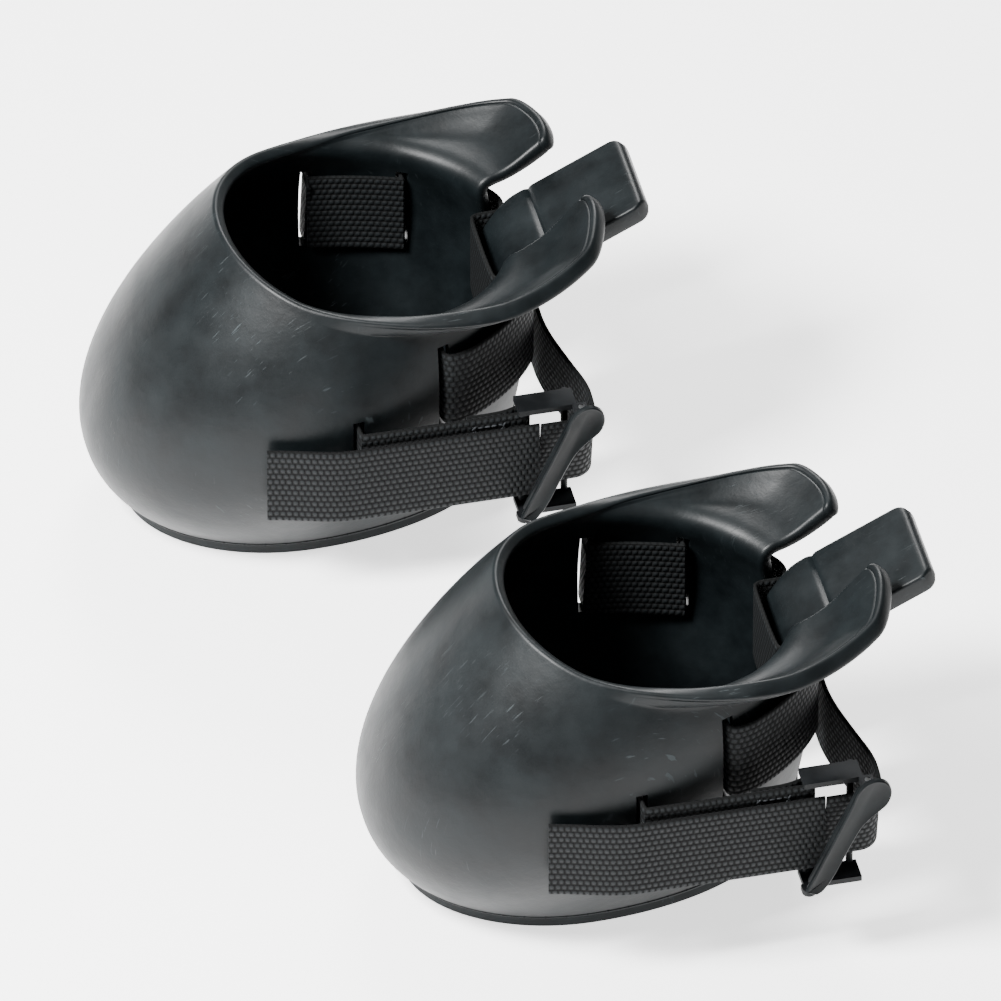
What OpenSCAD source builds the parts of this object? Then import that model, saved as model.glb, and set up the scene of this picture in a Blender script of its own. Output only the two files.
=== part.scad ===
// A pair of moulded rubber knee pads with webbing straps and cam buckles.
// Each pad: nose towards -X, leg leaves towards +X, floor at Z = 0, far side +Y.
// Origin: on the floor, under the middle of the first pad.

/* [Shell] */
// length of the sole outline in front of its centre
sole_front = 70; // [66:1:90]
// length of the sole outline behind its centre
sole_rear = 92; // [80:1:104]
// half width of the sole outline
sole_half = 52; // [44:1:60]
// height of the rim at the nose
nose_h = 138; // [124:1:150]
// height of the rim at the back
back_h = 118; // [114:1:124]
// half width of the mouth
mouth_half = 65; // [58:1:70]
// rubber wall thickness
wall_t = 6; // [5:0.5:7]
// how far the ears run back from the rim
ear_back = 36; // [28:1:42]
// how far the ears flare sideways
ear_out = 19; // [12:1:24]
// how far the ears rise above the rim
ear_up = 9; // [4:1:16]
// how much further the near ear curls up at the gap
ear_curl = 17; // [10:1:22]

/* [Tongue] */
// width of the rear gap between the side walls
gap_w = 52; // [48:1:58]
// thickness of the rubber tongue
tongue_t = 9; // [7:0.5:10]
// length of the tongue flap behind its crease
flap_len = 45; // [36:1:52]
// upward slope of the flap
flap_tilt = 27; // [18:1:34]

/* [Strap] */
// width of the webbing
web_w = 38; // [32:1:42]
// thickness of the webbing
web_t = 1.8; // [1.4:0.1:2.2]
// height of the middle of the upper pass
upper_z = 90; // [86:1:93]
// height of the middle of the lower pass at the buckle
lower_z = 60; // [56:1:62]
// position of the front slots on the near side
slot_front_x = 1; // [-4:1:6]
// distance between the front and rear slots
slot_pitch = 39; // [36:1:42]
// how far the far side slots sit behind the near ones
slot_shift = 9; // [4:1:12]
// length of the loose tail in front of the buckle
tail_len = 116; // [90:1:126]

/* [Pair] */
// distance the second pad stands behind the first along X
pair_dx = 61; // [40:1:90]
// distance between the pads across
pair_dy = 262; // [240:1:300]

/* [Hidden] */
$fn = 48;
sole_x = -14;
mouth_x = 14;
mouth_front = 60;
mouth_rear = 72;
sole_t = 4;
// half angle of the wall, from the nose round to the gap
wall_end = 180 - asin(gap_w / 2 / mouth_half);
// the sole outline turns a little slower so the gap keeps its width down to the floor
sole_turn = (180 - asin(gap_w / 2 / sole_half)) / wall_end;
wall_steps = 48;
rise_steps = 9;
foot_w = 12;
foot_rise = 3;
fit = 0.4;

// ---- wall surface ----
function mix(a, b, k) = a + (b - a) * k;
function ease(k) = let (c = min(1, max(0, k))) c * c * (3 - 2 * c);
function egg(a, x, front, rear, half) = [x - (cos(a) > 0 ? front : rear) * cos(a), half * sin(a)];
function nose(a) = (1 + cos(a)) / 2;
function rim_h(a) = back_h + (nose_h - back_h) * pow(nose(a), 2);
function out_dir(a) = let (v = [-cos(a) / 80, sin(a) / 60, 0]) v / norm(v);
function low_bulge(a) = 14 + 30 * pow(nose(a), 2) + 3 * abs(sin(a));
function high_bulge(a) = 10 + 26 * pow(nose(a), 2) + 3 * abs(sin(a));
function up3(z) = [0, 0, z];
function flat3(p) = [p[0], p[1], 0];
function bow(p0, p1, p2, p3, t) =
    pow(1 - t, 3) * p0 + 3 * pow(1 - t, 2) * t * p1 + 3 * (1 - t) * t * t * p2 + t * t * t * p3;
function skin(a, t) = let (
    low = flat3(egg(a * sole_turn, sole_x, sole_front, sole_rear, sole_half)),
    top = flat3(egg(a, mouth_x, mouth_front, mouth_rear, mouth_half)) + up3(rim_h(a)),
    p1 = low + out_dir(a) * low_bulge(a) + up3(rim_h(a) * 0.32),
    p2 = top + out_dir(a) * high_bulge(a) - up3(rim_h(a) * 0.30))
    bow(low + up3(sole_t), p1, p2, top, t);
function skin_out(a, t) = let (
    d = skin(a, min(1, t + 0.02)) - skin(a, max(0, t - 0.02)),
    run = d * out_dir(a),
    n = out_dir(a) * d[2] - up3(run))
    n / norm(n);
function inner(a, t) = skin(a, t) - skin_out(a, t) * mix(wall_t, wall_t + 1, t);
// the near ear starts sooner, reaches further back and curls up over the tongue
function near(a) = a < 0 ? 1 : 0;
function ear_grow(a) = ease((abs(a) - mix(64, 53, near(a))) / mix(83, 60, near(a)));
function ear_side(a) = mix(mix(0.2, -0.69, near(a)), 1, ease((wall_end - abs(a)) / 20)) * sign(a);
function ear_run(a) = mix(1, 1.2, near(a)) * mix(mix(1, 0.61, near(a)), 1, ease((abs(a) - 95) / (wall_end - 105)));
function ear_rise(a) = ear_up + mix(8, ear_curl, near(a)) * ease((abs(a) - wall_end + 50) / 50);
function foot_len(a) = mix(1, foot_w, ease((wall_end - abs(a)) / 30));
// the ear tips are rounded off towards the gap
function ear_tip(a) = 1 - 0.16 * pow(1 - min(1, (wall_end - abs(a)) / 10), 2);
function brim(a) = ear_grow(a) * ear_tip(a)
    * [ear_back * ear_run(a), ear_out * mix(1, 0.67, near(a)) * ear_side(a), ear_rise(a)] + out_dir(a) * 1.5;
function foot(a, reach, z) = flat3(inner(a, 0)) - out_dir(a) * reach + up3(z);
// one closed section of the wall: foot, outer face, brim, inner face, foot
function station(a) = concat(
    [foot(a, foot_len(a), sole_t)],
    [for (i = [0:rise_steps]) skin(a, i / rise_steps)],
    [skin(a, 1) + brim(a) * 0.5 + up3(0.5)],
    [skin(a, 1) + brim(a) + up3(1)],
    [skin(a, 1) + brim(a) + up3(wall_t)],
    [skin(a, 1) + brim(a) * 0.5 + up3(wall_t)],
    [inner(a, 1) + up3(wall_t - 1)],
    [for (i = [rise_steps - 1:-1:1]) inner(a, i / rise_steps)],
    [foot(a, 0, sole_t + foot_rise)],
    [foot(a, foot_len(a), sole_t + foot_rise)]);

module wall() {
    angles = [for (i = [0:wall_steps]) mix(wall_end, -wall_end, i / wall_steps)];
    rings = [for (a = angles) station(a)];
    n = len(rings[0]);
    pts = [for (r = rings) for (p = r) p];
    sides = [for (i = [0:wall_steps - 1]) for (j = [0:n - 1])
        let (k = (j + 1) % n, a = i * n + j, b = i * n + k, c = a + n, d = b + n)
        each [[a, b, c], [b, d, c]]];
    last = wall_steps * n;
    caps = [for (j = [0:n / 2 - 2])
        let (a = j, b = j + 1, c = n - 1 - j, d = n - 2 - j)
        each [[a, d, b], [a, c, d], [last + a, last + b, last + d], [last + a, last + d, last + c]]];
    polyhedron(pts, concat(sides, caps));
}

// ---- heights, slots and the rear gap ----
far_x = slot_front_x + slot_shift;
near_z = lower_z + 5;
far_z = upper_z - 2;
slot_h = web_w + 5;
// a narrower mouth curves harder and a wider webbing leans further, so both get more room
wrap_extra = max(0, 65 - mouth_half) * 0.16;
lean_extra = max(0, web_w - 38) * 0.14;
slot_w = 5;
function at_height(a, z) = skin(a, z / rim_h(a));
back_x = at_height(wall_end, upper_z)[0];
stem_w = gap_w - 13;
stem_x = back_x - tongue_t / 2 - 2;
cross_x = stem_x - tongue_t / 2 - web_t / 2 - 0.6;
crease = [back_x + 15, back_h - 3];
floor_z = sole_t;
fixed_y = at_height(90, near_z)[1] + 6;
tail_y = fixed_y + web_t + 1.5;

module slot(x, side, z) {
    translate([x - slot_w / 2, side * 70 - 25, z - slot_h / 2])
        cube([slot_w, 50, slot_h]);
}

module shell() {
    color([0.16, 0.19, 0.2])
        difference() {
            wall();
            slot(slot_front_x, -1, near_z);
            slot(slot_front_x + slot_pitch, -1, upper_z);
            slot(far_x, 1, far_z);
            slot(far_x + slot_pitch, 1, upper_z);
        }
}

module sole_plan(grow) {
    pts = [for (i = [0:95]) let (a = i * 3.75)
        egg(a, sole_x, sole_front + grow, sole_rear + grow, sole_half + grow)];
    polygon(pts);
}

module outsole() {
    color([0.12, 0.14, 0.15])
        difference() {
            linear_extrude(sole_t - 0.02)
                sole_plan(0);
            translate([0, 0, -1])
                linear_extrude(2.5)
                    intersection() {
                        sole_plan(-8);
                        union() {
                            for (i = [-3:3])
                                translate([sole_x + i * 20 - 1.5, -80])
                                    square([3, 160]);
                        }
                    }
        }
}

module knee_cushion() {
    front_x = sole_x - sole_front;
    color([0.1, 0.1, 0.11])
        translate([0, 0, sole_t + foot_rise + fit])
            linear_extrude(12)
                intersection() {
                    sole_plan(-wall_t - 2);
                    translate([front_x, -80])
                        square([stem_x - 36 - front_x, 160]);
                }
}

// ---- ribbons: a flat band of even thickness along a plan path ----
function side_dir(p, i) = let (
    a = p[max(0, i - 1)],
    b = p[i],
    c = p[min(len(p) - 1, i + 1)],
    u = i > 0 ? (b - a) / norm(b - a) : (c - b) / norm(c - b),
    v = i < len(p) - 1 ? (c - b) / norm(c - b) : u,
    m = (u + v) / norm(u + v))
    [-m[1], m[0]] / max(0.5, m * u);
function band(p, t) = concat(
    [for (i = [0:len(p) - 1]) p[i] + side_dir(p, i) * t / 2],
    [for (i = [len(p) - 1:-1:0]) p[i] - side_dir(p, i) * t / 2]);
function turn_arc(c, r, from, to, n) = [for (i = [0:n]) let (a = mix(from, to, i / n)) c + r * [cos(a), sin(a)]];

module ribbon(p, z) {
    translate([0, 0, z - web_w / 2])
        linear_extrude(web_w)
            polygon(band(p, web_t));
}

module tongue_stem() {
    foot = stem_x - 34;
    p = concat([[foot, floor_z + tongue_t / 2 + 0.02]],
        turn_arc([stem_x - 16, floor_z + tongue_t / 2 + 16.02], 16, -90, 0, 8),
        [[stem_x, 90]],
        [[stem_x + 2, 99]],
        [[stem_x + 7, 107]],
        [crease - (tongue_t / 2 + fit) * [cos(32), sin(32)]]);
    color([0.15, 0.18, 0.19])
        translate([0, stem_w / 2, 0])
            rotate([90, 0, 0])
                linear_extrude(stem_w)
                    polygon(band(p, tongue_t));
}

module tongue_flap() {
    w = gap_w - 5;
    color([0.15, 0.18, 0.19])
        translate([crease[0], w / 2, crease[1]])
            rotate([90, 0, 0])
                linear_extrude(w)
                    rotate(flap_tilt) {
                        circle(d = tongue_t);
                        translate([0, -tongue_t / 2])
                            square([flap_len - 2, tongue_t]);
                        translate([flap_len - 3, 0])
                            circle(d = tongue_t);
                    }
}

// ---- webbing ----
// inside face of a side wall, clear of both edges of a strap whose middle is at z
function in_y(x, z) = min([for (k = [-1, 1]) let (h = z + k * web_w / 2) at_height(angle_at(x, h), h)[1]])
    - wall_t - 1.9;
function angle_at(x, z) = [for (a = [60:2:150]) if (at_height(a, z)[0] > x) a][0];
function flat(p) = [p[0], p[1]];
// plan path hugging the outside of the far wall from a slot back to the gap
function hug(x, z, off) = let (from = angle_at(x + 7, z))
    [for (i = [0:9]) let (a = mix(from, wall_end - 1, i / 9)) flat(at_height(a, z) + out_dir(a) * off)];
function upper_half(x) = let (e = flat(at_height(wall_end, upper_z)), g = stem_w / 2 + 2.6)
    concat(
        [[x, in_y(x, upper_z)]],
        [[x, at_height(angle_at(x, upper_z), upper_z)[1] + 1.4]],
        hug(x, upper_z - 8, 3 + wrap_extra),
        [[e[0] + 3, e[1] - 1]],
        [[e[0] + 1.6, g + 0.6]],
        [[e[0] - 1, g]],
        [[cross_x + 2.4, g]],
        [[cross_x, g - 2.4]]);
function flip(p) = [for (i = [len(p) - 1:-1:0]) [p[i][0], -p[i][1]]];
pin_x = back_x - 2;
fixed_bar = [pin_x - 11, -(fixed_y - 2.7)];

module strap() {
    x1 = slot_front_x;
    x2 = x1 + slot_pitch;
    far_hug = hug(far_x, far_z - 8, 7);
    loop_x = pin_x + 12;
    color([0.07, 0.07, 0.08])
        union() {
            // upper pass, from the near rear slot round in front of the tongue to the far rear slot
            ribbon(concat(upper_half(far_x + slot_pitch), flip(upper_half(x2))), upper_z);
            // bridges on the inside of each side wall
            bridge(x1, x2, near_z, -1);
            bridge(far_x, far_x + slot_pitch, far_z, 1);
            // fixed length, from the near front slot back to the buckle, folded round its bar
            ribbon(concat([[x1, -in_y(x1, near_z)]], [[x1, 1 - fixed_y]], [[x1 + 1, -fixed_y]],
                [[fixed_bar[0] - 1, -fixed_y]], turn_arc(fixed_bar, 2.7, -90, 90, 8),
                [[fixed_bar[0] - 8, web_t + 0.3 - fixed_y]], [[fixed_bar[0] - 24, web_t + 0.3 - fixed_y]]), near_z);
            // lower pass, from the far front slot round behind the tongue to the buckle
            lower_pass(far_hug, loop_x);
        }
}

module bridge(x1, x2, z1, side) {
    h = web_w / 2 - 0.15;
    y1 = in_y(x1, z1);
    y2 = in_y(x2, upper_z);
    run = norm([x2 - x1, y2 - y1]);
    translate([x1, side * y1, 0])
        rotate([0, 0, side * atan((y2 - y1) / (x2 - x1))])
            translate([0, web_t / 2, 0])
                rotate([90, 0, 0])
                    linear_extrude(web_t)
                        polygon([[-web_t / 2, z1 - h], [run + web_t / 2, upper_z - h],
                            [run + web_t / 2, upper_z + h], [-web_t / 2, z1 + h]]);
}

module lower_pass(far_hug, loop_x) {
    y1 = at_height(angle_at(far_x, far_z), far_z)[1] + 3;
    e = far_hug[len(far_hug) - 1];
    p = concat([[far_x, in_y(far_x, far_z)]], [[far_x, y1]], far_hug, [[e[0] + 1.5, 10]], [[e[0] + 1.5, -16]],
        [[e[0] + 2, -32]], [[e[0] + 8, -52]], [[loop_x + 8, -66]],
        turn_arc([loop_x, 8 - tail_y], 8, 0, -90, 6), [[pin_x - 4, -tail_y]]);
    lean = atan((far_z - lower_z) / (tail_y + y1));
    translate([0, y1, far_z])
        rotate([lean, 0, 0])
            translate([0, -y1, -web_w / 2])
                linear_extrude(web_w)
                    polygon(band(p, web_t));
}

module strap_tail() {
    from = pin_x - 4.6;
    color([0.07, 0.07, 0.08])
        translate([from - tail_len, -tail_y - web_t / 2, lower_z - web_w / 2])
            cube([tail_len, web_t, web_w]);
}

module strap_stitch() {
    x = fixed_bar[0] - 22;
    h = web_w - 8;
    y = -fixed_y - web_t / 2 - 0.42;
    color([0.14, 0.14, 0.15])
        translate([x, y, near_z - h / 2])
            difference() {
                cube([14, 0.4, h]);
                translate([1.2, -1, 1.2])
                    cube([11.6, 3, h / 2 - 1.8]);
                translate([1.2, -1, h / 2 + 0.6])
                    cube([11.6, 3, h / 2 - 1.8]);
            }
}

// ---- buckle ----
pin_r = 1.4;
pin_fit = 0.06;
pin_lean = 24;
pin_y = -tail_y - web_t / 2 - 3.4 - lean_extra;
cheek_gap = web_w + 14;
cheek_t = 2.6;
lug_r = 2.8;

// places children with Z along the leaning pin
module at_pin() {
    translate([pin_x, pin_y, lower_z])
        rotate([0, pin_lean, 0])
            children();
}

module buckle_frame() {
    low = lower_z - cheek_gap / 2 - cheek_t;
    bar_h = cheek_gap + 2 * cheek_t;
    shift = (cheek_gap / 2 + cheek_t / 2) * tan(pin_lean);
    color([0.2, 0.22, 0.23])
        difference() {
            union() {
                for (k = [-1, 1])
                    translate([0, 0, lower_z + k * (cheek_gap + cheek_t) / 2 - cheek_t / 2])
                        cheek(pin_x + k * shift);
                translate([fixed_bar[0], fixed_bar[1], low])
                    cylinder(r = 1.5, h = bar_h);
                translate([pin_x + 8, -tail_y + web_t / 2 + 7.6 + lean_extra, low])
                    cylinder(r = 1.5, h = bar_h);
            }
            at_pin()
                cylinder(r = pin_r + 0.02, h = 90, center = true);
        }
}

module cheek(lug_x) {
    back = fixed_bar[1] + 3;
    front = pin_y + 2.2;
    linear_extrude(cheek_t) {
        translate([fixed_bar[0] - 3, front])
            square([pin_x + 11 - fixed_bar[0] + 3, back - front]);
        translate([lug_x, pin_y])
            circle(r = lug_r + 0.2);
        translate([lug_x - lug_r - 0.2, pin_y])
            square([2 * lug_r + 0.4, front - pin_y + 0.5]);
    }
}

module buckle_pin() {
    color([0.55, 0.57, 0.58])
        at_pin()
            cylinder(r = pin_r, h = (cheek_gap + 2 * cheek_t) / cos(pin_lean) - 0.4, center = true);
}

function lever_outline() = concat(
    [[-3.4, -28]],
    [[4.6, -28]],
    [[4.6, 6]],
    [[6, 14]],
    [for (i = [0:14]) let (a = -20 + i * 220 / 14) [3.4 + 7.6 * cos(a), 26 + 9.5 * sin(a)]],
    [[-3.4, 12]]);

module buckle_lever() {
    barrel = cheek_gap / cos(pin_lean) - 5;
    color([0.17, 0.19, 0.2])
        at_pin()
            difference() {
                union() {
                    cylinder(r = 2.5, h = barrel, center = true);
                    translate([-1.2, -3.6, 0.5 - barrel / 2])
                        cube([2.4, 1.9, barrel - 1]);
                    translate([0, -3.4, 0])
                        rotate([90, 0, 0])
                            linear_extrude(2.2)
                                polygon(lever_outline());
                }
                cylinder(r = pin_r + pin_fit, h = 90, center = true);
            }
}

// ---- placing ----
module second() {
    translate([pair_dx, -pair_dy, 0])
        children();
}

shell();  // shell_a
outsole();  // outsole_a
knee_cushion();  // knee_cushion_a
tongue_stem();  // tongue_stem_a
tongue_flap();  // tongue_flap_a
strap();  // strap_a
strap_tail();  // strap_tail_a
strap_stitch();  // strap_stitch_a
buckle_frame();  // buckle_frame_a
buckle_pin();  // buckle_pin_a
buckle_lever();  // buckle_lever_a
second() shell();  // shell_b
second() outsole();  // outsole_b
second() knee_cushion();  // knee_cushion_b
second() tongue_stem();  // tongue_stem_b
second() tongue_flap();  // tongue_flap_b
second() strap();  // strap_b
second() strap_tail();  // strap_tail_b
second() strap_stitch();  // strap_stitch_b
second() buckle_frame();  // buckle_frame_b
second() buckle_pin();  // buckle_pin_b
second() buckle_lever();  // buckle_lever_b
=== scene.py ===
import math
import bmesh
import bpy
import numpy as np
from mathutils import Matrix, Vector


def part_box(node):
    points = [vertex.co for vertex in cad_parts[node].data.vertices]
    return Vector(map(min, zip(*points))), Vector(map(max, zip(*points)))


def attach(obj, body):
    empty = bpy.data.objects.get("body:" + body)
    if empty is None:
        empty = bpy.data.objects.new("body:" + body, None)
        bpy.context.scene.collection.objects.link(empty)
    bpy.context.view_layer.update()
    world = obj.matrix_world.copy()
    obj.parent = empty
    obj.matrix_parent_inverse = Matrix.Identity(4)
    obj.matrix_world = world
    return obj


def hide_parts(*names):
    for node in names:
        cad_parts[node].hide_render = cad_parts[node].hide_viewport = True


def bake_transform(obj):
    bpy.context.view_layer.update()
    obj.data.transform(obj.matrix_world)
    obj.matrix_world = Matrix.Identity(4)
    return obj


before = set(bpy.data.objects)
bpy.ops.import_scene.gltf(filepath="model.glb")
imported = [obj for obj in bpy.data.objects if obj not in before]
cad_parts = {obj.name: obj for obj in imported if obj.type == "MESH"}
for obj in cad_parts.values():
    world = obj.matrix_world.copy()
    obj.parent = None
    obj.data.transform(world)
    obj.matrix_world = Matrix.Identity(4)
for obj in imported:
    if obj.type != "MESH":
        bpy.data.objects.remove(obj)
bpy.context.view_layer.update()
pads = {"a": Vector((0, 0, 0)), "b": Vector((0.061, -0.262, 0))}


# general mesh helpers
def makeObject(name, verts, faces, material, smooth=True):
    mesh = bpy.data.meshes.new(name)
    mesh.from_pydata([tuple(v) for v in verts], [], [tuple(f) for f in faces])
    mesh.update()
    for polygon in mesh.polygons:
        polygon.use_smooth = smooth
    obj = bpy.data.objects.new(name, mesh)
    bpy.context.scene.collection.objects.link(obj)
    mesh.materials.append(material)
    return obj


def bakeModifiers(obj):
    # turns the live modifiers into plain mesh
    depsgraph = bpy.context.evaluated_depsgraph_get()
    mesh = bpy.data.meshes.new_from_object(obj.evaluated_get(depsgraph))
    obj.modifiers.clear()
    old = obj.data
    obj.data = mesh
    bpy.data.meshes.remove(old)
    return obj


def recalcNormals(obj):
    work = bmesh.new()
    work.from_mesh(obj.data)
    bmesh.ops.remove_doubles(work, verts=work.verts, dist=1e-6)
    bmesh.ops.recalc_face_normals(work, faces=work.faces)
    work.to_mesh(obj.data)
    work.free()


def autoSmooth(obj, degrees):
    obj.data.set_sharp_from_angle(angle=math.radians(degrees))


def loopFaces(rings, size, closedAlong=False):
    # quads between neighbouring closed rings of the same size
    faces = []
    for i in range(rings if closedAlong else rings - 1):
        for j in range(size):
            a, b = i * size + j, i * size + (j + 1) % size
            c, d = (i + 1) % rings * size + j, (i + 1) % rings * size + (j + 1) % size
            faces.append((a, b, d, c))
    return faces


def resample(points, count):
    points = np.asarray(points, float)
    steps = np.r_[0, np.cumsum(np.linalg.norm(np.diff(points, axis=0), axis=1))]
    at = np.linspace(0, steps[-1], count)
    return np.stack([np.interp(at, steps, points[:, k]) for k in range(points.shape[1])], 1)


def roundPath(points, passes=3, step=0.0015):
    # corner cutting keeps both ends where they are
    points = np.asarray(points, float)
    for _ in range(passes):
        cut = np.stack([points[:-1] * 0.75 + points[1:] * 0.25, points[:-1] * 0.25 + points[1:] * 0.75], 1)
        points = np.vstack([points[:1], cut.reshape(-1, points.shape[1]), points[-1:]])
    length = np.linalg.norm(np.diff(points, axis=0), axis=1).sum()
    return resample(points, max(4, int(length / step)))


# shader maths through one small socket wrapper
class Socket:
    def __init__(self, tree, link):
        self.tree = tree
        self.link = link

    def math(self, operation, *others):
        return nodeOf(self.tree, "ShaderNodeMath", {"operation": operation}, [self, *others])

    def __add__(self, other):
        return self.math("ADD", other)

    def __radd__(self, other):
        return self.math("ADD", other)

    def __sub__(self, other):
        return self.math("SUBTRACT", other)

    def __rsub__(self, other):
        return nodeOf(self.tree, "ShaderNodeMath", {"operation": "SUBTRACT"}, [other, self])

    def __mul__(self, other):
        return self.math("MULTIPLY", other)

    def __rmul__(self, other):
        return self.math("MULTIPLY", other)

    def __truediv__(self, other):
        return self.math("DIVIDE", other)


def nodeOf(tree, kind, settings=None, values=None, output=0):
    node = tree.nodes.new(kind)
    for key, value in (settings or {}).items():
        if key == "ramp":
            while len(node.color_ramp.elements) < len(value):
                node.color_ramp.elements.new(0.5)
            for element, (position, shade) in zip(node.color_ramp.elements, value):
                element.position = position
                element.color = (shade, shade, shade, 1)
        else:
            setattr(node, key, value)
    pairs = values.items() if isinstance(values, dict) else enumerate(values or [])
    for key, value in pairs:
        if isinstance(value, Socket):
            tree.links.new(value.link, node.inputs[key])
        else:
            node.inputs[key].default_value = value
    return Socket(tree, node.outputs[output])


def colourMix(tree, factor, first, second, blend="MIX"):
    # sockets 6 and 7 are the colour inputs of a Mix node, 2 its colour output
    return nodeOf(tree, "ShaderNodeMix", {"data_type": "RGBA", "blend_type": blend},
                  {0: factor, 6: first, 7: second}, output=2)


def newMaterial(name, roughness, **extra):
    material = bpy.data.materials.new(name)
    material.use_nodes = True
    tree = material.node_tree
    shader = tree.nodes["Principled BSDF"]
    shader.inputs["Roughness"].default_value = roughness
    for key, value in extra.items():
        shader.inputs[key.replace("_", " ")].default_value = value
    return material, tree, shader


def plug(tree, shader, **links):
    for key, socket in links.items():
        tree.links.new(socket.link, shader.inputs[key.replace("_", " ")])


def bump(tree, height, distance, strength, below=None):
    values = {"Height": height, "Distance": distance, "Strength": strength}
    if below is not None:
        values["Normal"] = below
    return nodeOf(tree, "ShaderNodeBump", None, values)


def noise(tree, where, scale, detail=4.0, rough=0.55):
    return nodeOf(tree, "ShaderNodeTexNoise", None,
                  {"Vector": where, "Scale": scale, "Detail": detail, "Roughness": rough})


def ramp(tree, value, stops):
    return nodeOf(tree, "ShaderNodeValToRGB", {"ramp": stops}, [value])


def objectCoords(tree):
    return nodeOf(tree, "ShaderNodeTexCoord", output=3)


def uvCoords(tree):
    return nodeOf(tree, "ShaderNodeTexCoord", output=2)


rubberLook = {"dark": (0.0012, 0.0020, 0.0024, 1), "light": (0.0048, 0.0072, 0.0082, 1),
              "scuff": (0.045, 0.056, 0.06, 1), "roughness": 0.4}


def makeRubber(name, look):
    material, tree, shader = newMaterial(name, look["roughness"], Specular_IOR_Level=0.5, IOR=1.3)
    where = objectCoords(tree)
    cloud = ramp(tree, noise(tree, where, 46, 6, 0.62), [(0.3, 0), (0.72, 1)])
    colour = colourMix(tree, cloud, look["dark"], look["light"])
    # short pale scuffs in a few directions
    scuffs = None
    for turn, scale in ((0.5, 90), (1.9, 120), (2.7, 75)):
        turned = nodeOf(tree, "ShaderNodeMapping", None,
                        {"Vector": where, "Rotation": (turn, turn * 0.7, turn), "Scale": (1, 14, 1)})
        lines = ramp(tree, noise(tree, turned, scale, 2, 0.5), [(0.69, 0), (0.73, 1)])
        scuffs = lines if scuffs is None else scuffs.math("MAXIMUM", lines)
    patches = ramp(tree, noise(tree, where, 16, 3), [(0.5, 0), (0.66, 1)])
    scuffs = scuffs * patches
    colour = colourMix(tree, scuffs * 0.5, colour, look["scuff"])
    grain = noise(tree, where, 900, 3)
    waves = noise(tree, where, 60, 3)
    rough = cloud * 0.1 + (look["roughness"] - 0.05) + scuffs * 0.15 + waves * 0.08
    normal = bump(tree, waves, 0.0012, 0.25)
    normal = bump(tree, grain, 0.00012, 0.35, normal)
    normal = bump(tree, scuffs, 0.0001, 0.5, normal)
    plug(tree, shader, Base_Color=colour, Roughness=rough, Normal=normal)
    return material


webLook = {"dark": (0.0012, 0.0015, 0.0016, 1), "light": (0.0085, 0.010, 0.011, 1),
           "rowPitch": 0.0029, "dotPitch": 0.0027}


def makeWebbing(name, look):
    # the woven face reads the strap's own UV, laid out in metres along and across
    material, tree, shader = newMaterial(name, 0.7, Specular_IOR_Level=0.3, IOR=1.35)
    split = nodeOf(tree, "ShaderNodeSeparateXYZ", None, [uvCoords(tree)])
    along = Socket(tree, split.link.node.outputs[0])
    across = Socket(tree, split.link.node.outputs[1])
    rows = across / look["rowPitch"]
    odd = rows.math("FLOOR") * 0.5
    wobble = noise(tree, objectCoords(tree), 240, 2) * 0.3
    dots = along / look["dotPitch"] + odd + wobble
    rise = (dots.math("FRACT") - 0.5).math("ABSOLUTE") * 2
    side = (rows.math("FRACT") - 0.5).math("ABSOLUTE") * 2
    bead = (1 - rise * rise) * (1 - side * side)
    height = bead + noise(tree, objectCoords(tree), 1800, 2) * 0.25
    # the colour follows the bead height: painted sheen on the raised crowns and painted shade in the hollows
    # between them, over the real bump
    shade = ramp(tree, height, [(0.35, 0), (1.0, 1)])
    colour = colourMix(tree, shade, look["dark"], look["light"])
    plug(tree, shader, Base_Color=colour, Normal=bump(tree, height, 0.0006, 0.9),
         Roughness=0.85 - shade * 0.3)
    return material


def makePlastic(name, base, edge):
    material, tree, shader = newMaterial(name, 0.36, Specular_IOR_Level=0.4, IOR=1.25)
    where = objectCoords(tree)
    worn = ramp(tree, noise(tree, where, 70, 4), [(0.4, 0), (0.75, 1)])
    grain = noise(tree, where, 2200, 2)
    plug(tree, shader, Base_Color=colourMix(tree, worn, base, edge), Roughness=0.4 + worn * 0.16,
         Normal=bump(tree, grain, 0.00005, 0.4))
    return material


def makeSteel(name):
    material, tree, shader = newMaterial(name, 0.3, Metallic=1.0)
    where = nodeOf(tree, "ShaderNodeMapping", None, {"Vector": objectCoords(tree), "Scale": (1, 1, 0.05)})
    lines = noise(tree, where, 4000, 2)
    plug(tree, shader, Base_Color=colourMix(tree, lines, (0.4, 0.41, 0.42, 1), (0.6, 0.61, 0.62, 1)),
         Roughness=0.25 + lines * 0.2)
    return material


def makeSponge(name):
    material, tree, shader = newMaterial(name, 0.9, Specular_IOR_Level=0.2)
    where = objectCoords(tree)
    pores = noise(tree, where, 900, 4)
    cloud = noise(tree, where, 40, 3)
    colour = colourMix(tree, pores * cloud, (0.006, 0.007, 0.0075, 1), (0.03, 0.034, 0.036, 1))
    plug(tree, shader, Base_Color=colour, Normal=bump(tree, pores, 0.0004, 0.7))
    return material


rubber = makeRubber("shellRubber", rubberLook)
soleRubber = makeRubber("soleRubber", {**rubberLook, "roughness": 0.55, "light": (0.010, 0.0135, 0.015, 1)})
webbing = makeWebbing("wovenWebbing", webLook)
plastic = makePlastic("bucklePlastic", (0.003, 0.0038, 0.0042, 1), (0.008, 0.0098, 0.0105, 1))
framePlastic = makePlastic("framePlastic", (0.004, 0.0045, 0.005, 1), (0.01, 0.011, 0.012, 1))
steel = makeSteel("pinSteel")
sponge = makeSponge("cushionSponge")
thread = makePlastic("sewingThread", (0.02, 0.022, 0.024, 1), (0.06, 0.065, 0.07, 1))
print("materials ready")

# camera, floor and lights
cameraLook = {"turn": -13.0, "rise": 40.0, "span": 0.426, "lens": 1000.0, "sensor": 36.0,
              "aside": 0.0776673, "below": 0.0138312}


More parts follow.
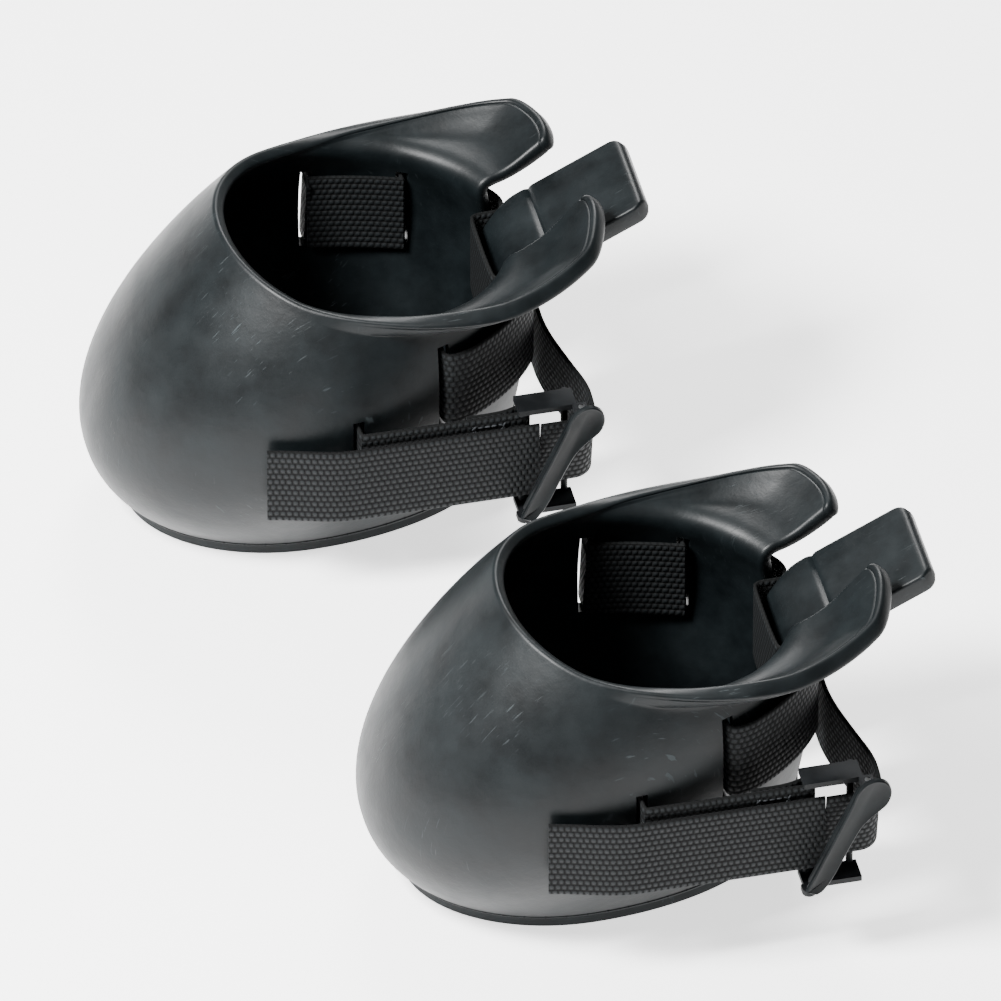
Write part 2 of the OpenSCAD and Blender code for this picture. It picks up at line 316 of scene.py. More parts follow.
def placeCamera(look):
    turn, rise = math.radians(look["turn"]), math.radians(look["rise"])
    back = Vector((math.sin(turn) * math.cos(rise), -math.cos(turn) * math.cos(rise), math.sin(rise)))
    right = Vector((math.cos(turn), math.sin(turn), 0))
    up = right.cross(-back)
    data = bpy.data.cameras.new("camera")
    data.lens, data.sensor_width = look["lens"], look["sensor"]
    # the middle of the view stands this far aside and below the first pad's origin
    target = right * look["aside"] - up * look["below"]
    camera = bpy.data.objects.new("camera", data)
    bpy.context.scene.collection.objects.link(camera)
    camera.rotation_mode = "QUATERNION"
    camera.rotation_quaternion = (-back).to_track_quat("-Z", "Y")
    camera.location = target + back * look["span"] * look["lens"] / look["sensor"]
    data.clip_end = 60
    bpy.context.scene.camera = camera


def addLight(name, place, target, size, power):
    data = bpy.data.lights.new(name, "AREA")
    data.energy, data.size = power, size
    light = bpy.data.objects.new(name, data)
    light.location = place
    light.rotation_euler = (Vector(target) - Vector(place)).to_track_quat("-Z", "Y").to_euler()
    bpy.context.scene.collection.objects.link(light)


placeCamera(cameraLook)
addLight("keySoft", (-0.8, -0.35, 1.25), (0, -0.1, 0.08), 0.42, 95)
addLight("rimSoft", (0.35, 1.1, 1.15), (0, -0.1, 0.1), 0.5, 30)
addLight("frontFill", (-0.3, -1.8, 0.9), (0, -0.1, 0.08), 1.4, 4)
world = bpy.data.worlds.new("studio")
world.use_nodes = True
world.node_tree.nodes["Background"].inputs[0].default_value = (1, 1, 1, 1)
world.node_tree.nodes["Background"].inputs[1].default_value = 0.16
bpy.context.scene.world = world
floorMesh = bpy.data.meshes.new("floor")
floorCorners = [(x, y, -0.0004) for x, y in ((-6, -6), (6, -6), (6, 6), (-6, 6))]
floorMesh.from_pydata(floorCorners, [], [(0, 1, 2, 3)])
floor = bpy.data.objects.new("floor", floorMesh)
bpy.context.scene.collection.objects.link(floor)
floorPaint, _, floorShader = newMaterial("palePaper", 0.9)
floorShader.inputs["Base Color"].default_value = (0.92, 0.92, 0.92, 1)
floorShader.inputs["Emission Color"].default_value = (1, 1, 1, 1)
floorShader.inputs["Emission Strength"].default_value = 1.6
floorMesh.materials.append(floorPaint)
print("camera and lights ready")

# moulded shell
shell = {"soleX": -0.014, "soleFront": 0.070, "soleRear": 0.092, "soleHalf": 0.052,
         "mouthX": 0.014, "mouthFront": 0.060, "mouthRear": 0.072, "mouthHalf": 0.065,
         "noseHigh": 0.138, "backHigh": 0.118, "wall": 0.006, "gap": 0.052, "soleThick": 0.004,
         "earBack": 0.036, "earOut": 0.019, "earUp": 0.009, "farCurl": 0.008, "nearCurl": 0.017,
         "lip": 0.005, "lipRound": 0.0022, "bead": 0.0036, "cutRound": 0.0016, "stations": 300,
         "wallSteps": 90, "foldStart": 60, "wallRings": 54, "brimRings": 26, "lipRings": 16}
wallEnd = math.pi - math.asin(shell["gap"] / 2 / shell["mouthHalf"])
soleTurn = (math.pi - math.asin(shell["gap"] / 2 / shell["soleHalf"])) / wallEnd


def ease(k):
    k = np.clip(k, 0, 1)
    return k * k * (3 - 2 * k)


def mix(a, b, k):
    return a + (b - a) * k


def egg(angle, x, front, rear, half):
    return np.stack([x - np.where(np.cos(angle) > 0, front, rear) * np.cos(angle),
                     half * np.sin(angle), np.zeros_like(angle)], -1)


def rimHeight(angle):
    return mix(shell["backHigh"], shell["noseHigh"], ((1 + np.cos(angle)) / 2) ** 2)


def outward(angle):
    away = np.stack([-np.cos(angle) / 80, np.sin(angle) / 60, np.zeros_like(angle)], -1)
    return away / np.linalg.norm(away, axis=-1, keepdims=True)


def lift(height):
    return np.stack([np.zeros_like(height), np.zeros_like(height), height], -1)


def skin(angle, t):
    # outer face of the side wall: t runs from the sole edge to the rim
    angle, t = np.broadcast_arrays(np.asarray(angle, float), np.asarray(t, float))
    nose = (1 + np.cos(angle)) / 2
    bulge = np.abs(np.sin(angle)) * 0.003
    low = egg(angle * soleTurn, shell["soleX"], shell["soleFront"], shell["soleRear"], shell["soleHalf"])
    top = egg(angle, shell["mouthX"], shell["mouthFront"], shell["mouthRear"], shell["mouthHalf"])
    high = rimHeight(angle)
    out = outward(angle)
    p0 = low + lift(high * 0 + shell["soleThick"])
    p1 = low + out * (0.014 + 0.030 * nose ** 2 + bulge)[..., None] + lift(high * 0.32)
    p2 = top + out * (0.010 + 0.026 * nose ** 2 + bulge)[..., None] + lift(high * 0.70)
    p3 = top + lift(high)
    t = t[..., None]
    return (1 - t) ** 3 * p0 + 3 * (1 - t) ** 2 * t * p1 + 3 * (1 - t) * t * t * p2 + t ** 3 * p3


def brimReach(angle):
    # the near ear starts sooner, reaches further back and curls up over the tongue
    degrees, end, near = np.degrees(np.abs(angle)), math.degrees(wallEnd), (angle < 0) * 1.0
    grow = ease((degrees - mix(64, 53, near)) / mix(83, 60, near))
    back = mix(mix(1, 0.61, near), 1, ease((degrees - 95) / (end - 105))) * shell["earBack"] * mix(1, 1.2, near)
    out = mix(mix(0.2, -0.69, near), 1, ease((end - degrees) / 20)) * shell["earOut"] * mix(1, 0.67, near)
    curl = mix(shell["farCurl"], shell["nearCurl"], near) * ease((degrees - end + 50) / 50)
    reach = np.stack([back, out * np.sign(angle), shell["earUp"] + curl], -1)
    tip = 1 - 0.16 * (1 - np.minimum(1, (end - degrees) / 10)) ** 2
    # where there is no brim the wall just runs on upwards to a flat edge
    rise = skin(angle, np.full_like(angle, 1.0)) - skin(angle, np.full_like(angle, 0.94))
    plain = rise / np.linalg.norm(rise, axis=-1, keepdims=True) * 0.0056
    return (grow * tip)[..., None] * reach + (1 - grow)[..., None] * plain


def buildShell(tag, place):
    angles = np.linspace(-wallEnd, wallEnd, shell["stations"])
    wallT = np.linspace(0, 1, shell["wallSteps"])
    base = skin(angles[:, None], wallT[None, :])
    reach = brimReach(angles)
    s = np.linspace(0, 1, 31)[1:]
    brim = base[:, -1:, :] + reach[:, None, :] * s[None, :, None]
    width = np.linalg.norm(reach, axis=1)
    brim[..., 2] -= (width * 0.08 * ease((width - 0.008) / 0.01))[:, None] * (4 * s * (1 - s))[None, :]
    path = np.concatenate([base, brim], 1)
    rings = shell["wallRings"] + shell["brimRings"] + shell["lipRings"]
    outer = np.zeros((len(angles), rings, 3))
    edge = np.zeros((len(angles), rings))
    fold = shell["foldStart"]
    for i, line in enumerate(path):
        for _ in range(5):
            line[fold:-1] = line[fold:-1] * 0.5 + (line[fold - 1:-2] + line[fold + 1:]) * 0.25
        steps = np.r_[0, np.cumsum(np.linalg.norm(np.diff(line, axis=0), axis=1))]
        lip = min(shell["lip"], 0.6 * width[i])
        # the fold always falls on the same ring, so it stays even all the way round
        rim = steps[shell["wallSteps"] - 1]
        at = np.r_[np.linspace(0, rim, shell["wallRings"], endpoint=False),
                   np.linspace(rim, steps[-1] - lip, shell["brimRings"], endpoint=False),
                   np.linspace(steps[-1] - lip, steps[-1], shell["lipRings"])]
        for k in range(3):
            outer[i, :, k] = np.interp(at, steps, line[:, k])
        edge[i] = steps[-1] - at
    normal = np.cross(np.gradient(outer, axis=0), np.gradient(outer, axis=1))
    for _ in range(4):
        normal /= np.linalg.norm(normal, axis=-1, keepdims=True)
        normal[1:-1] = normal[1:-1] * 0.5 + (normal[:-2] + normal[2:]) * 0.25
        normal[:, 1:-1] = normal[:, 1:-1] * 0.5 + (normal[:, :-2] + normal[:, 2:]) * 0.25
    normal /= np.linalg.norm(normal, axis=-1, keepdims=True)
    if (normal[150, 20] @ outward(np.array(angles[150]))) < 0:
        normal = -normal
    # the ears are a little thicker than the wall
    thick = shell["wall"] + 0.0015 * ease((width - 0.01) / 0.02)[:, None] * ease((0.03 - edge) / 0.02)
    inner = outer - normal * thick[..., None]
    middle = (outer + inner) / 2
    half = thick / 2
    # the free edge is rounded over, with a fine bead line just inside it
    lipRound = np.sqrt(np.clip(1 - ((shell["lipRound"] - edge) / shell["lipRound"]).clip(0, 1) ** 2, 0, 1))
    half = half * mix(0.42, 1, lipRound)
    bead = np.exp(-((edge - shell["bead"]) / 0.0005) ** 2) * ease((width - 0.008) / 0.012)[:, None]
    half = half - 0.00045 * bead
    # the two cut edges at the rear gap are rounded a little
    run = np.minimum(np.arange(len(angles)), np.arange(len(angles))[::-1]) * 0.0011
    endRound = np.sqrt(np.clip(1 - ((shell["cutRound"] - run) / shell["cutRound"]).clip(0, 1) ** 2, 0, 1))
    half = half * mix(0.6, 1, endRound)[:, None]
    outer = middle + normal * half[..., None]
    inner = middle - normal * half[..., None]
    outer[:, 0, 2] = shell["soleThick"]
    inner[:, 0, 2] = shell["soleThick"]
    ring = np.concatenate([outer, inner[:, ::-1]], 1)
    size = ring.shape[1]
    faces = loopFaces(len(angles), size)
    last = (len(angles) - 1) * size
    for j in range(rings - 1):
        quad = (j, j + 1, size - 2 - j, size - 1 - j)
        faces.append(quad)
        faces.append(tuple(last + k for k in reversed(quad)))
    verts = ring.reshape(-1, 3) + np.array(place)
    obj = makeObject("mouldedShell_" + tag, verts, faces, rubber)
    recalcNormals(obj)
    cutSlots(obj, place)
    autoSmooth(obj, 50)
    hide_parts("shell_" + tag)
    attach(obj, "pad_" + tag)


strap = {"width": 0.038, "thick": 0.0018, "upperZ": 0.090, "lowerZ": 0.060, "frontX": 0.001,
         "pitch": 0.039, "shift": 0.009, "tail": 0.116, "tailBend": 0.009}
nearZ = strap["lowerZ"] + 0.005
farZ = strap["upperZ"] - 0.002
farX = strap["frontX"] + strap["shift"]
slotPlaces = [(strap["frontX"], -1, nearZ), (strap["frontX"] + strap["pitch"], -1, strap["upperZ"]),
              (farX, 1, farZ), (farX + strap["pitch"], 1, strap["upperZ"])]


def cutSlots(obj, place):
    cutter = bmesh.new()
    for x, side, z in slotPlaces:
        made = bmesh.ops.create_cube(cutter, size=1)["verts"]
        bmesh.ops.scale(cutter, vec=(0.005, 0.05, strap["width"] + 0.005), verts=made)
        bmesh.ops.translate(cutter, vec=Vector((x, side * 0.070, z)) + place, verts=made)
    mesh = bpy.data.meshes.new("slotCutter")
    cutter.to_mesh(mesh)
    cutter.free()
    tool = bpy.data.objects.new("slotCutter", mesh)
    bpy.context.scene.collection.objects.link(tool)
    cut = obj.modifiers.new("slots", "BOOLEAN")
    cut.operation, cut.object, cut.solver = "DIFFERENCE", tool, "EXACT"
    bakeModifiers(obj)
    bpy.data.objects.remove(tool)


for tag, place in pads.items():
    buildShell(tag, place)
print("shells ready")


# webbing
def bandMesh(name, path, zMiddle, tag, place, ride, replaced=None, tilt=None):
    # a woven band on edge: the path runs in plan, the width stands up
    plan = roundPath(path)
    step = np.gradient(plan, axis=0)
    side = np.stack([-step[:, 1], step[:, 0]], 1)
    side /= np.linalg.norm(side, axis=1, keepdims=True)
    run = np.r_[0, np.cumsum(np.linalg.norm(np.diff(plan, axis=0), axis=1))]
    halfW, halfT, edge = strap["width"] / 2, strap["thick"] / 2, 0.0008
    profile = []
    across = np.linspace(-halfW + edge, halfW - edge, 13)
    for z in across:
        profile.append((halfT, z))
    profile += [(halfT * 0.6, halfW - edge * 0.3), (0, halfW), (-halfT * 0.6, halfW - edge * 0.3)]
    for z in across[::-1]:
        profile.append((-halfT, z))
    profile += [(-halfT * 0.6, -halfW + edge * 0.3), (0, -halfW), (halfT * 0.6, -halfW + edge * 0.3)]
    size = len(profile)
    verts, uvs = [], []
    for p, n, u in zip(plan, side, run):
        for off, z in profile:
            point = Vector((p[0] + n[0] * off, p[1] + n[1] * off, z))
            verts.append(point)
            uvs.append((u, z + halfW))
    if tilt:
        lean, pivotY = tilt
        turn = Matrix.Translation((0, pivotY, zMiddle)) @ Matrix.Rotation(lean, 4, "X")
        turn = turn @ Matrix.Translation((0, -pivotY, 0))
    else:
        turn = Matrix.Translation((0, 0, zMiddle))
    verts = [turn @ v + place for v in verts]
    faces = loopFaces(len(plan), size)
    faces.append(tuple(range(size)))
    faces.append(tuple(range((len(plan) - 1) * size, len(plan) * size))[::-1])
    obj = makeObject(name + "_" + tag, verts, faces, webbing)
    layer = obj.data.uv_layers.new(name="weave")
    for loop in obj.data.loops:
        layer.data[loop.index].uv = uvs[loop.vertex_index]
    recalcNormals(obj)
    autoSmooth(obj, 60)
    if replaced:
        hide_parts(replaced + "_" + tag)
    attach(obj, ride + "_" + tag)


def atHeight(degrees, z):
    angle = np.radians(degrees)
    return skin(angle, z / rimHeight(np.array(angle)))


def angleAt(x, z):
    return next(a for a in range(60, 151, 2) if atHeight(a, z)[0] > x)


endDegrees = math.degrees(wallEnd)
backX = float(atHeight(endDegrees, strap["upperZ"])[0])
tongueT = 0.009
stemX = backX - tongueT / 2 - 0.002
stemHalf = (shell["gap"] - 0.013) / 2
crossX = stemX - tongueT / 2 - strap["thick"] / 2 - 0.0006
fixedY = float(atHeight(90, nearZ)[1]) + 0.006
tailY = fixedY + strap["thick"] + 0.0015
pinX = backX - 0.002
fixedBar = (pinX - 0.011, -(fixedY - 0.0027))


def inY(x, z):
    # inside face of a side wall, clear of both edges of a strap whose middle is at z
    edges = (z - strap["width"] / 2, z + strap["width"] / 2)
    return min(float(atHeight(angleAt(x, h), h)[1]) for h in edges) - shell["wall"] - strap["thick"]


def hug(x, z, off):
    start = angleAt(x + 0.007, z)
    path = []
    for a in np.linspace(start, endDegrees - 1, 10):
        p = atHeight(a, z) + outward(np.radians(np.array(a))) * off
        path.append((p[0], p[1]))
    return path


def upperHalf(x):
    end = atHeight(endDegrees, strap["upperZ"])
    g = stemHalf + 0.0026
    outside = float(atHeight(angleAt(x, strap["upperZ"]), strap["upperZ"])[1]) + 0.0014
    return [(x, inY(x, strap["upperZ"])), (x, outside)] + hug(x, strap["upperZ"] - 0.008, 0.003) + [
        (end[0] + 0.003, end[1] - 0.001), (end[0] + 0.0016, g + 0.0006), (end[0] - 0.001, g),
        (crossX + 0.0024, g), (crossX, g - 0.0024)]


def flip(path):
    return [(x, -y) for x, y in reversed(path)]


def arc(centre, radius, start, end, count):
    return [(centre[0] + radius * math.cos(a), centre[1] + radius * math.sin(a))
            for a in np.radians(np.linspace(start, end, count))]


def buildStraps(tag, place):
    x1 = strap["frontX"]
    x2 = x1 + strap["pitch"]
    # upper pass, round the front of the tongue
    bandMesh("upperPass", upperHalf(farX + strap["pitch"]) + flip(upperHalf(x2)), strap["upperZ"],
             tag, place, "pad", "strap")
    # fixed length, folded round its bar in the buckle
    fold = [(x1, -inY(x1, nearZ)), (x1, 0.001 - fixedY), (x1 + 0.001, -fixedY), (fixedBar[0] - 0.001, -fixedY)]
    fold += arc(fixedBar, 0.0027, -90, 90, 9)
    under = strap["thick"] + 0.0003 - fixedY
    fold += [(fixedBar[0] - 0.008, under), (fixedBar[0] - 0.024, under)]
    bandMesh("fixedLength", fold, nearZ, tag, place, "pad")
    # lower pass, from the far front slot round behind the tongue, leaning down to the buckle
    farHug = hug(farX, farZ - 0.008, 0.007)
    y1 = float(atHeight(angleAt(farX, farZ), farZ)[1]) + 0.003
    e = farHug[-1]
    loopX = pinX + 0.012
    lower = [(farX, inY(farX, farZ)), (farX, y1)] + farHug + [(e[0] + 0.0015, 0.010), (e[0] + 0.0015, -0.016),
            (e[0] + 0.002, -0.032), (e[0] + 0.008, -0.052), (loopX + 0.008, -0.066)]
    lower += arc((loopX, 0.008 - tailY), 0.008, 0, -90, 7) + [(pinX - 0.004, -tailY)]
    lean = math.atan((farZ - strap["lowerZ"]) / (tailY + y1))
    bandMesh("lowerPass", lower, farZ, tag, place, "pad", tilt=(lean, y1))
    start = pinX - 0.0046
    bandMesh("looseTail", tailPath(start), strap["lowerZ"], tag, place, "tail", "strap_tail")
    bridge(tag, place, x1, x2, nearZ, -1)
    bridge(tag, place, farX, farX + strap["pitch"], farZ, 1)


def bridge(tag, place, x1, x2, z1, side):
    # the short run inside a side wall, from one slot to the next
    rows, cols = 24, 13
    halfW, halfT = strap["width"] / 2, strap["thick"] / 2
    verts, uvs = [], []
    y1, y2 = inY(x1, z1), inY(x2, strap["upperZ"])
    for i in range(rows):
        k = i / (rows - 1)
        x, z = mix(x1, x2, k), mix(z1, strap["upperZ"], k)
        bow = -0.0010 * math.sin(math.pi * k) - (mix(y1, y2, k))
        for face in (1, -1):
            for j in range(cols)[::face]:
                w = mix(-halfW, halfW, j / (cols - 1))
                verts.append(Vector((x, -side * bow + face * halfT, z + w)) + place)
                uvs.append((x, w + halfW))
    faces = loopFaces(rows, cols * 2)
    faces.append(tuple(range(cols * 2)))
    faces.append(tuple(range((rows - 1) * cols * 2, rows * cols * 2))[::-1])
    name = "nearBridge_" if side < 0 else "farBridge_"
    obj = makeObject(name + tag, verts, faces, webbing)
    layer = obj.data.uv_layers.new(name="weave")
    for loop in obj.data.loops:
        layer.data[loop.index].uv = uvs[loop.vertex_index]
    recalcNormals(obj)
    autoSmooth(obj, 60)
    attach(obj, "pad_" + tag)


def tailPath(start):
    # the free end follows the side of the shell
    xs = np.linspace(start, start - strap["tail"], 30)
    return [(x, -tailY + strap["tailBend"] * float(ease((-0.002 - x) / 0.045))) for x in xs]


for tag, place in pads.items():
    buildStraps(tag, place)
print("webbing ready")

# tongue: one rubber strip, bent back at its crease
tongue = {"flapLength": 0.045, "flapTilt": 27.0, "flapHalf": (shell["gap"] - 0.005) / 2, "corner": 0.0014,
          "footLength": 0.034, "footRadius": 0.016, "notch": 0.0011,
          "creaseX": backX + 0.015, "creaseZ": shell["backHigh"] - 0.003, "rings": 150}


def buildTongue(tag, place):
    floorZ = shell["soleThick"] + tongueT / 2 + 0.0002
    cx, cz = tongue["creaseX"], tongue["creaseZ"]
    tilt = math.radians(tongue["flapTilt"])
    bend = tongue["footRadius"]
    line = [(stemX - tongue["footLength"], floorZ)]
    line += arc((stemX - bend, floorZ + bend), bend, -90, 0, 9)
    line += [(stemX, 0.090), (stemX + 0.002, 0.099), (stemX + 0.007, 0.107), (cx, cz)]
    line += [(cx + tongue["flapLength"] * k * math.cos(tilt), cz + tongue["flapLength"] * k * math.sin(tilt))
             for k in (0.35, 0.7, 1.0)]
    plan = resample(roundPath(line, passes=2), tongue["rings"])
    step = np.gradient(plan, axis=0)
    step /= np.linalg.norm(step, axis=1, keepdims=True)
    up = np.stack([-step[:, 1], step[:, 0]], 1)
    run = np.r_[0, np.cumsum(np.linalg.norm(np.diff(plan, axis=0), axis=1))]
    creaseAt = run[np.argmin(np.hypot(plan[:, 0] - cx, plan[:, 1] - cz))]
    r = tongue["corner"]
    verts = []
    for (x, z), n, at in zip(plan, up, run):
        end = min(at, run[-1] - at)
        close = math.sqrt(max(0.0, 1 - (1 - min(1, end / 0.0035)) ** 2))
        halfW = mix(stemHalf, tongue["flapHalf"], float(ease((at - creaseAt + 0.022) / 0.016)))
        halfW -= 0.004 * (1 - min(1, (run[-1] - at) / 0.006)) ** 2
        halfT = tongueT / 2 * mix(0.45, 1, close)
        notch = tongue["notch"] * math.exp(-((at - creaseAt) / tongue["notch"]) ** 2)
        loop = []
        for qx, qz, start in ((1, 1, 0), (-1, 1, 90), (-1, -1, 180), (1, -1, 270)):
            for a in np.radians(np.linspace(start, start + 90, 5)):
                loop.append((qx * (halfW - r) + r * math.cos(a), qz * (halfT - r * 0.99) + r * math.sin(a)))
            if start in (0, 180):
                # extra points across the flat faces
                across = np.linspace(qx * (halfW - r), -qx * (halfW - r), 12)[1:-1]
                loop += [(y, qz * halfT) for y in across]
        for y, t in loop:
            if t > 0:
                t -= notch
            verts.append(Vector((x + n[0] * t, y, z + n[1] * t)) + place)
    size = len(loop)
    faces = loopFaces(len(plan), size)
    faces.append(tuple(range(size)))
    faces.append(tuple(range((len(plan) - 1) * size, len(plan) * size))[::-1])
    obj = makeObject("rearTongue_" + tag, verts, faces, rubber)
    recalcNormals(obj)
    autoSmooth(obj, 50)
    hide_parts("tongue_stem_" + tag, "tongue_flap_" + tag)
    Vector((cx - 0.007, 0, cz - 0.005)) + place
    Vector((cx + 0.007, 0, cz + 0.003)) + place
    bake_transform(obj)


# knee cushion: a crowned sponge insert
cushion = {"thick": 0.012, "inset": 0.0085, "rings": 14, "points": 120, "steps": 8, "dish": 0.003}


def buildCushion(tag, place):
    low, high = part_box("knee_cushion_" + tag)
    angles = np.linspace(0, 2 * math.pi, cushion["points"], endpoint=False)
    outline = egg(angles, shell["soleX"], shell["soleFront"] - cushion["inset"],
                  shell["soleRear"] - cushion["inset"], shell["soleHalf"] - cushion["inset"])[:, :2]
    limit = high[0] - place.x - 0.0008
    # the rear edge is cut to a soft curve in front of the tongue
    over = np.clip(outline[:, 0] - limit + 0.006, 0, None)
    outline[:, 0] -= over * over / (over + 0.006)
    outline[:, 0] = np.minimum(outline[:, 0], limit)
    middle = outline.mean(0)
    verts = []
    # the rolled side, from the top edge down to the bottom one
    for t in np.linspace(0, math.pi, cushion["rings"]):
        z = math.cos(t)
        squeeze = 1 - 0.07 * (1 - abs(math.sin(t)) ** 0.35)
        for q in outline:
            spot = middle + (q - middle) * (squeeze if abs(z) < 0.98 else 0.9)
            bulge = z * abs(z) ** -0.55 if abs(z) > 1e-6 else 0
            verts.append((spot[0], spot[1], (low[2] + high[2]) / 2 + bulge * cushion["thick"] / 2))
    size = cushion["points"]
    faces = loopFaces(cushion["rings"], size)
    # the top is dished for the knee, the bottom is flat
    for base, dish in ((0, cushion["dish"]), ((cushion["rings"] - 1) * size, 0)):
        previous = base
        for k in range(1, cushion["steps"] + 1):
            scale = 1 - k / cushion["steps"]
            start = len(verts)
            for j in range(size):
                edgePoint = np.array(verts[base + j])
                centre = np.array([middle[0], middle[1], edgePoint[2]])
                spot = centre + (edgePoint - centre) * max(scale, 0.001)
                spot[2] -= dish * (1 - scale ** 2)
                verts.append(tuple(spot))
            for j in range(size):
                a, b = previous + j, previous + (j + 1) % size
                c, d = start + j, start + (j + 1) % size
                faces.append((a, b, d, c))
            previous = start
        faces.append(tuple(previous + j for j in range(size)))
    obj = makeObject("kneeCushion_" + tag, [Vector(v) + place for v in verts], faces, sponge)
    recalcNormals(obj)
    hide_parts("knee_cushion_" + tag)
    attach(obj, "pad_" + tag)


# buckle lever: a spoon shaped bar with an oval thumb tab
lever = {"lean": 24.0, "front": -0.0034, "thick": 0.0022, "pinY": -tailY - strap["thick"] / 2 - 0.0034,
         "left": -0.0034, "right": 0.0046, "foot": -0.028, "neck": (0.006, 0.014),
         "tab": (0.0034, 0.026), "tabHalf": (0.0076, 0.0095), "bevel": 0.0005,
         "dishEdge": 0.0011, "dish": 0.0006,
         "barrel": 0.0025, "chamfer": 0.0003, "bore": 0.00146, "gap": 0.052, "sides": 32}


def pinMatrix(place):
    centre = Vector((pinX, lever["pinY"], strap["lowerZ"])) + place
    return Matrix.Translation(centre) @ Matrix.Rotation(math.radians(lever["lean"]), 4, "Y")


def buildLever(tag, place):
    (tabX, tabZ), (tabHalfX, tabHalfZ) = lever["tab"], lever["tabHalf"]
    tab = [(tabX + tabHalfX * math.cos(a), tabZ + tabHalfZ * math.sin(a))
           for a in np.radians(np.linspace(-20, 200, 15))]
    left, right, foot = lever["left"], lever["right"], lever["foot"]
    outline = [(left, foot), (right, foot), (right, 0.006), lever["neck"]] + tab + [(left, 0.012)]
    smooth = roundPath(outline + outline[:1], passes=2, step=0.0012)[:-1]
    work = bmesh.new()
    back = [work.verts.new((x, lever["front"], z)) for x, z in smooth]
    front = [work.verts.new((x, lever["front"] - lever["thick"] + lever["bevel"], z)) for x, z in smooth]
    count = len(back)
    work.faces.new(back)
    thumbFace = work.faces.new(front[::-1])
    for j in range(count):
        work.faces.new((back[(j + 1) % count], back[j], front[j], front[(j + 1) % count]))
    bmesh.ops.recalc_face_normals(work, faces=work.faces)
    for inset, depth in ((lever["bevel"], lever["bevel"]), (lever["dishEdge"], -lever["dish"])):
        bmesh.ops.inset_region(work, faces=[thumbFace], thickness=inset, depth=depth, use_even_offset=False)
    # the barrel that turns on the pin, with its web to the plate
    length = lever["gap"] / math.cos(math.radians(lever["lean"])) - 0.005
    rounds, bore, barrel = lever["sides"], lever["bore"], lever["barrel"]
    end = barrel - lever["chamfer"]
    rings = []
    for radius, z in ((bore, -1), (end, -1), (barrel, -0.98), (barrel, 0.98), (end, 1), (bore, 1)):
        rings.append([work.verts.new((radius * math.cos(a), radius * math.sin(a), z * length / 2))
                      for a in np.linspace(0, 2 * math.pi, rounds, endpoint=False)])
    for k, ring in enumerate(rings):
        following = rings[(k + 1) % len(rings)]
        for j in range(rounds):
            work.faces.new((ring[j], ring[(j + 1) % rounds], following[(j + 1) % rounds], following[j]))
    web = bmesh.ops.create_cube(work, size=1)["verts"]
    bmesh.ops.scale(work, vec=(0.0024, 0.0014, length * 0.96), verts=web)
    bmesh.ops.translate(work, vec=(0, -0.0029, 0), verts=web)
    bmesh.ops.recalc_face_normals(work, faces=work.faces)
    work.transform(pinMatrix(place))
    mesh = bpy.data.meshes.new("buckleLeverSpoon_" + tag)
    work.to_mesh(mesh)
    work.free()
    obj = bpy.data.objects.new("buckleLeverSpoon_" + tag, mesh)
    bpy.context.scene.collection.objects.link(obj)
    mesh.materials.append(plastic)
    for polygon in mesh.polygons:
        polygon.use_smooth = True
    autoSmooth(obj, 35)
    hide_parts("buckle_lever_" + tag)
    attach(obj, "lever_" + tag)


for tag, place in pads.items():
    buildTongue(tag, place)
    buildCushion(tag, place)
    buildLever(tag, place)
print("tongues, cushions and levers ready")

